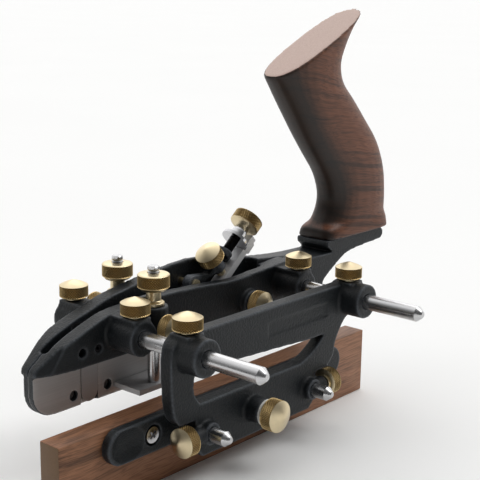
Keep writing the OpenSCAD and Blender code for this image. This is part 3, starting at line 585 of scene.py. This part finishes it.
def hardwood(name, colour, tilt, ring, gloss, end_grain_and_sheen, shaded_front):
    """Close-grained red-brown hardwood: dark growth lines, short pores, an oiled sheen, painted shade on the
    handle's front, and end faces in their own tones, which on the handle's top are a painted sheen.
    """
    material, tree, shader, where = start_material(name)
    turned = {"Vector": where, "Rotation": (0.0, math.radians(tilt), 0.0)}
    grain = add(tree, "ShaderNodeMapping", turned).outputs["Vector"]
    bend = noise(tree, grain, 1 / mm(45.0), 2.0, output="Color")
    shift = vector_step(tree, "MULTIPLY", bend, (mm(6.0),) * 3)
    bent = vector_step(tree, "ADD", grain, shift)
    growth = noise(tree, stretched(tree, bent, (120.0, ring * 3, ring)), 1.0, 4.0, 0.62)
    pores = noise(tree, stretched(tree, bent, (14.0, 0.5, 0.5)), 1.0, 2.0)
    ramp = add(tree, "ShaderNodeValToRGB", {"Fac": growth})
    ramp.color_ramp.elements[0].position = 0.36
    ramp.color_ramp.elements[0].color = rgba(colour, 0.45)
    ramp.color_ramp.elements[1].position = 0.66
    ramp.color_ramp.elements[1].color = rgba(colour, 1.25)
    ramp.color_ramp.elements.new(0.46).color = rgba(colour)
    streak = ranged(tree, pores, (0.62, 1.0), (0.36, 0.56))
    body = blend(tree, 1.0, ramp.outputs["Color"], streak, "MULTIPLY")
    # Painted shade: faces toward the handle's front are mixed toward near-black #191613, in place of the
    # shade on that side.
    if shaded_front:
        toward = vector_step(tree, "DOT_PRODUCT", surface(tree, "Normal"), SHADED_FRONT_SIDE, "Value")
        front_shade = ranged(tree, toward, (0.0, 0.92), (0.12, 0.62), "SMOOTHSTEP")
        body = blend(tree, front_shade, body, linear("#191613"))
    fibre = noise(tree, where, 1 / mm(0.8), 3.0)
    sawn_and_sheen = blend(tree, fibre, linear(end_grain_and_sheen.dark), linear(end_grain_and_sheen.light))
    feed(tree, shader, {
        "Base Color": blend(tree, end_grain_and_sheen_faces(tree, where, end_grain_and_sheen), body, sawn_and_sheen),
        "Roughness": ranged(tree, pores, (gloss + 0.14, gloss - 0.06)), "Specular IOR Level": 0.35,
        "Normal": bumped(tree, pores, 0.2, mm(0.12))})
    return material


def end_grain_and_sheen_faces(tree, where, end_grain_and_sheen):
    """1 on end-grain faces, which on the handle's top carry a painted sheen, and 0 on the rest."""
    toward = vector_step(tree, "DOT_PRODUCT", surface(tree, "Normal"), end_grain_and_sheen.normal, "Value")
    if end_grain_and_sheen.both_ends:
        toward = reckon(tree, "ABSOLUTE", toward)
    flat = ranged(tree, toward, (0.0, 1.0), (end_grain_and_sheen.level - 0.04, end_grain_and_sheen.level + 0.04))
    height = add(tree, "ShaderNodeSeparateXYZ", {"Vector": where}).outputs["Z"]
    return reckon(tree, "MULTIPLY", flat, reckon(tree, "GREATER_THAN", height, end_grain_and_sheen.above))


# Operators, one for each group of pieces

class PLOUGH_OT_castings(bpy.types.Operator):
    """Rounds the painted castings and bares the ground faces of the skates"""
    bl_idname = "plough.castings"
    bl_label = "Castings"

    def execute(self, context):
        sizes = context.scene.plough_sizes
        colour = tuple(context.scene.plough_colours.paint)
        body_paint = painted_iron("black_enamel_and_ground_iron", colour, ground=True)
        fence_paint = painted_iron("black_enamel", colour, ground=False)
        for node in ("main_body", "sliding_section", "fence_frame", "fence_bar"):
            material = fence_paint if node.startswith("fence") else body_paint
            bm = softened(node, sizes.cast_grain, sizes.cast_passes)
            finish_piece(f"{node}_casting", bm, BODY_OF[node], material, (node,), sharp=180)
        dress("clamp_lever", fence_paint)
        return {"FINISHED"}


class PLOUGH_OT_handle(bpy.types.Operator):
    """Shapes and grains the wooden handle"""
    bl_idname = "plough.handle"
    bl_label = "Handle"

    def execute(self, context):
        sizes = context.scene.plough_sizes
        colour = tuple(context.scene.plough_colours.handle_wood)
        slope = math.radians(HANDLE_CUT_SLOPE)
        top = (-math.sin(slope), 0.0, math.cos(slope))
        low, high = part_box("handle")
        # Painted sheen: the handle's sloping top gets pale tones #B99788 to #D9BFB3, lighter than the wood's
        # own colour, in place of light glancing off it.
        end_grain_and_sheen = EndGrainAndSheen(
            normal=top, both_ends=False, level=0.93, above=(low[2] + high[2]) / 2,
            dark="#B99788", light="#D9BFB3")
        wood = hardwood(
            "oiled_hardwood_handle", colour, tilt=-8.0, ring=3.4, gloss=0.4, end_grain_and_sheen=end_grain_and_sheen, shaded_front=True)
        bm = softened("handle", sizes.handle_grain, sizes.handle_passes)
        finish_piece("handle_grip", bm, BODY_OF["handle"], wood, ("handle",), sharp=180)
        return {"FINISHED"}


class PLOUGH_OT_strip(bpy.types.Operator):
    """Makes the planed wooden strip of the fence"""
    bl_idname = "plough.strip"
    bl_label = "Wooden strip"

    def execute(self, context):
        edge = context.scene.plough_sizes.strip_edge
        colour = tuple(context.scene.plough_colours.strip_wood)
        low, high = (Vector(corner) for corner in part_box("wooden_strip"))
        end_grain_and_sheen = EndGrainAndSheen(
            normal=(1.0, 0.0, 0.0), both_ends=True, level=0.9, above=low.z,
            dark="#6A5038", light="#7C6044")
        wood = hardwood(
            "planed_hardwood_strip", colour, tilt=0.0, ring=6.0, gloss=0.46, end_grain_and_sheen=end_grain_and_sheen, shaded_front=False)
        bm = bmesh.new()
        bmesh.ops.create_cube(bm, size=1.0)
        bmesh.ops.scale(bm, vec=high - low, verts=bm.verts)
        bmesh.ops.translate(bm, vec=(low + high) / 2, verts=bm.verts)
        bmesh.ops.bevel(bm, geom=bm.edges[:], offset=edge, offset_type="OFFSET", affect="EDGES",
                        segments=3, profile=0.5, material=-1)
        body, slot = BODY_OF["wooden_strip"], SLOT_OF["wooden_strip"]
        finish_piece("fence_strip", bm, body, wood, ("wooden_strip",))
        return {"FINISHED"}


class PLOUGH_OT_thumbscrews(bpy.types.Operator):
    """Turns and knurls the brass thumbscrews"""
    bl_idname = "plough.thumbscrews"
    bl_label = "Thumbscrews"

    nodes = (
        "main_lock", "slide_lock_front", "slide_lock_rear", "spacing_screw",
        "near_stop_lock", "far_stop_lock", "clamp_screw", "fence_lock_front",
        "fence_lock_rear", "fine_screw", "guide_lock_front", "guide_lock_rear")

    def execute(self, context):
        sizes = context.scene.plough_sizes
        colour = tuple(context.scene.plough_colours.brass)
        brass = satin_brass("turned_brass", colour, turned=True)
        for node in self.nodes:
            tip, direction, length, radius = turned_frame(node)
            bm = placed(self.knob(sizes, length, radius), tip, direction)
            finish_piece(f"{node}_knob", bm, BODY_OF[node], brass, (node,))
        dress("clamp_pivot", satin_brass("plain_brass", colour, turned=False))
        return {"FINISHED"}

    def knob(self, sizes, length, radius):
        """A thumbscrew along Z: chamfered shank, plain neck, knurled band and cone."""
        band = sizes.band_height + (WIDE_KNOB_BAND if radius > WIDE_KNOB else 0.0)
        start = length - sizes.cone_height - band
        shank = start - KNOB_NECK_HEIGHT
        steps = knurl_steps(radius, sizes.knurl_pitch)
        neck = radius * KNOB_NECK_SHARE
        core = sizes.shank_radius
        head, low, high = knob_profile(radius, start, band, sizes.cone_height, steps)
        profile = [
            (0.0, 0.0), (core - mm(0.5), 0.0), (core, mm(0.5)), (core, shank), (neck - mm(0.2), shank),
            (neck, shank + mm(0.2)), (neck, start), *head]
        return knurled(profile, radius, low, high, steps, sizes.knurl_depth)


class PLOUGH_OT_depth_stops(bpy.types.Operator):
    """Turns the depth stops' knurled nuts and threaded posts"""
    bl_idname = "plough.depth_stops"
    bl_label = "Depth stops"

    def execute(self, context):
        sizes = context.scene.plough_sizes
        brass = bpy.data.materials["turned_brass"]
        steel = ground_steel("bright_steel_post", context.scene.plough_colours.steel, 0.24, (2.0, 2.0, 0.15))
        for side in ("near", "far"):
            self.nut(sizes, f"{side}_stop_nut", brass)
            self.post(sizes, f"{side}_stop_post", f"{side}_stop_nut", steel)
        return {"FINISHED"}

    def nut(self, sizes, node, brass):
        """A brass nut with a flange below, a waist and a knurled head."""
        tip, direction, length, radius = turned_frame(node)
        rim = length - NUT_CROWN
        neck_top = rim - NUT_HEAD_HEIGHT
        low, high = neck_top + mm(1.7), rim - mm(0.55)
        steps = knurl_steps(radius, sizes.knurl_pitch)
        flange = [
            (FLANGE_RADIUS - mm(0.3), 0.0), (FLANGE_RADIUS, mm(0.3)),
            (FLANGE_RADIUS, FLANGE_HEIGHT - mm(0.3)), (FLANGE_RADIUS - mm(0.3), FLANGE_HEIGHT)]
        waist = [
            (NUT_NECK + mm(0.6), FLANGE_HEIGHT + mm(0.2)), (NUT_NECK, FLANGE_HEIGHT + mm(0.9)),
            (NUT_NECK, neck_top - mm(0.4)), (NUT_NECK + mm(0.4), neck_top)]
        head = [
            (radius - mm(1.7), neck_top), (radius - mm(0.15), low - mm(0.1)),
            *band_points(radius, low, high, steps), (radius - mm(0.12), high + mm(0.12)),
            (radius - mm(0.55), rim), (radius - mm(1.0), rim + mm(0.08))]
        hole = [(NUT_HOLE + mm(0.3), length), (NUT_HOLE, length - mm(0.3)), (NUT_HOLE, 0.0)]
        profile = [(NUT_HOLE, 0.0), *flange, *waist, *head, *hole]
        bm = knurled(profile, radius, low, high, steps, sizes.knurl_depth)
        finish_piece(f"{node}_knob", placed(bm, tip, direction), BODY_OF[node], brass, (node,))

    def post(self, sizes, node, nut, steel):
        """A steel post with a foot below and a threaded stud that comes out of the nut."""
        low, high = (Vector(corner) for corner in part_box(node))
        nut_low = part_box(nut)[0][2]
        centre = (low + high) / 2
        radius = (high.x - low.x) / 2 - POST_CLEARANCE
        shoulder = nut_low - SHOULDER_BELOW_NUT - low.z
        thread_from = shoulder + SHOULDER_TO_THREAD
        length = high.z - low.z
        count = int((length - mm(0.9) - thread_from) / sizes.thread_pitch * 2)
        thread = thread_points(STUD_RADIUS, STUD_THREAD_DEPTH, thread_from, sizes.thread_pitch, count)
        profile = [
            (0.0, 0.0), (POST_FOOT_RADIUS, 0.0), (POST_FOOT_RADIUS, POST_FOOT_HEIGHT),
            (radius, POST_FOOT_HEIGHT), (radius, shoulder - mm(0.4)), (radius - mm(0.4), shoulder),
            (STUD_RADIUS, shoulder), *thread, (STUD_RADIUS, length - mm(0.8)),
            (STUD_RADIUS, length - mm(0.4)), (STUD_RADIUS - mm(0.4), length), (0.0, length)]
        bm = spin_profile(profile, POST_STEPS)
        bmesh.ops.translate(bm, vec=(centre.x, centre.y, low.z), verts=bm.verts)
        finish_piece(f"{node}_rod", bm, BODY_OF[node], steel, (node,))


class PLOUGH_OT_adjuster(bpy.types.Operator):
    """Turns the blade adjuster's knob and its blackened threaded spindle"""
    bl_idname = "plough.adjuster"
    bl_label = "Blade adjuster"

    def execute(self, context):
        sizes = context.scene.plough_sizes
        brass = bpy.data.materials["turned_brass"]
        black = ground_steel("blackened_steel", linear("#2A2A2C"), 0.4, (1.0, 1.0, 1.0))
        bright = ground_steel("bright_plate", linear("#D6D6D8"), 0.16, (1.0, 1.0, 1.0))
        tip, direction, length, radius = turned_frame("adjuster_screw")
        start = length - sizes.cone_height - sizes.band_height
        foot = start - HUB_HEIGHT
        body, slot = BODY_OF["adjuster_screw"], SLOT_OF["adjuster_screw"]
        bm = self.knob(sizes, start, radius)
        finish_piece("adjuster_knob", placed(bm, tip, direction), body, brass, ("adjuster_screw",))
        bm = self.spindle(sizes, foot)
        finish_piece("adjuster_spindle", placed(bm, tip, direction), body, black)
        bm = self.hub(foot - mm(0.2), start)
        finish_piece("adjuster_hub", placed(bm, tip, direction), body, bright)
        return {"FINISHED"}

    def knob(self, sizes, start, radius):
        """The knurled brass knob at the spindle's end."""
        steps = knurl_steps(radius, sizes.knurl_pitch)
        head, low, high = knob_profile(radius, start, sizes.band_height, sizes.cone_height, steps)
        return knurled([(0.0, start), *head], radius, low, high, steps, sizes.knurl_depth)

    def spindle(self, sizes, end):
        """The threaded spindle from its tip up to the hub."""
        count = int((end - mm(1.2)) / sizes.thread_pitch * 2)
        thread = thread_points(SPINDLE_RADIUS, SPINDLE_THREAD_DEPTH, mm(0.8), sizes.thread_pitch, count)
        return spin_profile([
            (0.0, 0.0), (SPINDLE_RADIUS - mm(0.6), 0.0), *thread, (SPINDLE_RADIUS, end), (0.0, end)],
            SPINDLE_STEPS)

    def hub(self, low, high):
        """The bright hub under the knob, which drives the blade's flange."""
        return spin_profile([
            (0.0, low), (HUB_RADIUS, low), (HUB_RADIUS, high - mm(1.4)), (HUB_NECK, high - mm(1.0)),
            (HUB_NECK, high), (0.0, high)], HUB_STEPS)


class PLOUGH_OT_plain_metal(bpy.types.Operator):
    """Finishes the rods, blade, nickers, feet and small screws"""
    bl_idname = "plough.plain_metal"
    bl_label = "Plain metal"

    def execute(self, context):
        steel = tuple(context.scene.plough_colours.steel)
        rod = ground_steel("ground_steel_rod", steel, 0.25, (3.0, 0.25, 3.0))
        tool = ground_steel("ground_tool_steel", linear("#B3B2B3"), 0.45, (12.0, 4.0, 0.35), metal=0.45)
        pale = ground_steel("ground_blade_steel", linear("#D8D8DA"), 0.45, (12.0, 4.0, 0.35), metal=0.3)
        bright = bpy.data.materials["bright_plate"]
        dark = ground_steel("black_oxide", linear("#2C2C2E"), 0.45, (1.0, 1.0, 1.0))
        for material, nodes in (
                (rod, ("front_rod", "rear_rod", "guide_rods")),
                (tool, ("near_nicker", "far_nicker", "near_stop_foot", "far_stop_foot")),
                (bright, ("handle_screws", "strip_screws", "drive_flange")),
                (dark, ("near_nicker_screw", "far_nicker_screw")),
                (pale, ("blade",)),
                (white_nylon("white_nylon"), ("fine_washer",))):
            for node in nodes:
                dress(node, material)
        return {"FINISHED"}


class PLOUGH_OT_stage(bpy.types.Operator):
    """Sets the floor, the soft studio light and the photograph's camera"""
    bl_idname = "plough.stage"
    bl_label = "Stage"

    def execute(self, context):
        self.floor()
        self.world(context.scene)
        self.lamps()
        self.camera(context.scene)
        context.scene.view_settings.view_transform = "Standard"
        return {"FINISHED"}

    def floor(self):
        """A pale floor under the lowest point, which takes the shadow."""
        material, tree, shader, where = start_material("pale_floor")
        cloud = noise(tree, where, 3.0, 2.0)
        feed(tree, shader, {
            "Base Color": blend(tree, cloud, linear("#FBFBFA"), linear("#FEFEFD")), "Roughness": 0.9})
        bm = bmesh.new()
        bmesh.ops.create_grid(bm, x_segments=1, y_segments=1, size=FLOOR_REACH)
        bmesh.ops.translate(bm, vec=(0.0, 0.0, CAD_BOX[0][2] - FLOOR_GAP), verts=bm.verts)
        mesh = bpy.data.meshes.new("floor")
        bm.to_mesh(mesh)
        bm.free()
        mesh.materials.append(material)
        floor = bpy.data.objects.new("floor", mesh)
        bpy.context.scene.collection.objects.link(floor)

    def world(self, scene):
        """A studio that is bright behind and above the plane and dim on the camera's side."""
        world = bpy.data.worlds.new("studio")
        world.use_nodes = True
        scene.world = world
        tree = world.node_tree
        tree.nodes.clear()
        sky = add(tree, "ShaderNodeTexCoord").outputs["Generated"]
        behind = vector_step(tree, "DOT_PRODUCT", sky, BRIGHT_SKY, "Value")
        level = ranged(tree, behind, SKY_STRENGTH, SKY_SPREAD, "SMOOTHSTEP")
        lit = add(tree, "ShaderNodeBackground", {"Strength": level})
        add(tree, "ShaderNodeOutputWorld", {"Surface": lit.outputs["Background"]})

    def lamps(self):
        """Two broad suns, a key and a weaker one from behind."""
        for name, place, angle, strength in LAMPS:
            lamp = bpy.data.lights.new(name, "SUN")
            lamp.angle = math.radians(angle)
            lamp.energy = strength
            holder = bpy.data.objects.new(name, lamp)
            holder.location = place
            away = Vector(LAMP_AIM) - Vector(place)
            holder.rotation_euler = away.to_track_quat("-Z", "Y").to_euler()
            bpy.context.scene.collection.objects.link(holder)

    def camera(self, scene):
        """The photograph's camera, from its angles and focal length."""
        azimuth, elevation, roll = (
            math.radians(angle) for angle in (CAMERA_AZIMUTH, CAMERA_ELEVATION, CAMERA_ROLL))
        back = Vector((math.sin(azimuth) * math.cos(elevation), -math.cos(azimuth) * math.cos(elevation),
                       math.sin(elevation)))
        right = Vector((math.cos(azimuth), math.sin(azimuth), 0.0))
        up = back.cross(right)
        across = right * math.cos(roll) + up * math.sin(roll)
        upward = up * math.cos(roll) - right * math.sin(roll)
        turn = Matrix((across, upward, back)).transposed().to_4x4()
        data = bpy.data.cameras.new("photo_view")
        data.sensor_width = SENSOR_MM
        data.lens = SENSOR_MM * CAMERA_FOCAL / FRAME_PIXELS
        data.clip_start = CAMERA_CLIP
        camera = bpy.data.objects.new("photo_view", data)
        camera.matrix_world = Matrix.Translation(CAMERA_AT) @ turn
        scene.collection.objects.link(camera)
        scene.camera = camera


OPERATORS = (
    PLOUGH_OT_castings, PLOUGH_OT_handle, PLOUGH_OT_strip, PLOUGH_OT_thumbscrews, PLOUGH_OT_depth_stops,
    PLOUGH_OT_adjuster, PLOUGH_OT_plain_metal, PLOUGH_OT_stage)


class PLOUGH_PT_panel(bpy.types.Panel):
    """Lists the plane's sizes, colours and pieces"""
    bl_idname = "PLOUGH_PT_panel"
    bl_label = "Plough plane"
    bl_space_type = "VIEW_3D"
    bl_region_type = "UI"
    bl_category = "Plough plane"

    def draw(self, context):
        for group in (context.scene.plough_sizes, context.scene.plough_colours):
            for name in group.__annotations__:
                self.layout.prop(group, name)
        for operator in OPERATORS:
            self.layout.operator(operator.bl_idname)


CLASSES = (PloughSizes, PloughColours, *OPERATORS, PLOUGH_PT_panel)


def register():
    for item in CLASSES:
        bpy.utils.register_class(item)
    bpy.types.Scene.plough_sizes = bpy.props.PointerProperty(type=PloughSizes)
    bpy.types.Scene.plough_colours = bpy.props.PointerProperty(type=PloughColours)


def unregister():
    del bpy.types.Scene.plough_colours
    del bpy.types.Scene.plough_sizes
    for item in reversed(CLASSES):
        bpy.utils.unregister_class(item)


def main():
    register()
    bpy.ops.plough.castings()
    bpy.ops.plough.handle()
    bpy.ops.plough.strip()
    bpy.ops.plough.thumbscrews()
    bpy.ops.plough.depth_stops()
    bpy.ops.plough.adjuster()
    bpy.ops.plough.plain_metal()
    bpy.ops.plough.stage()


if __name__ == "__main__":
    main()
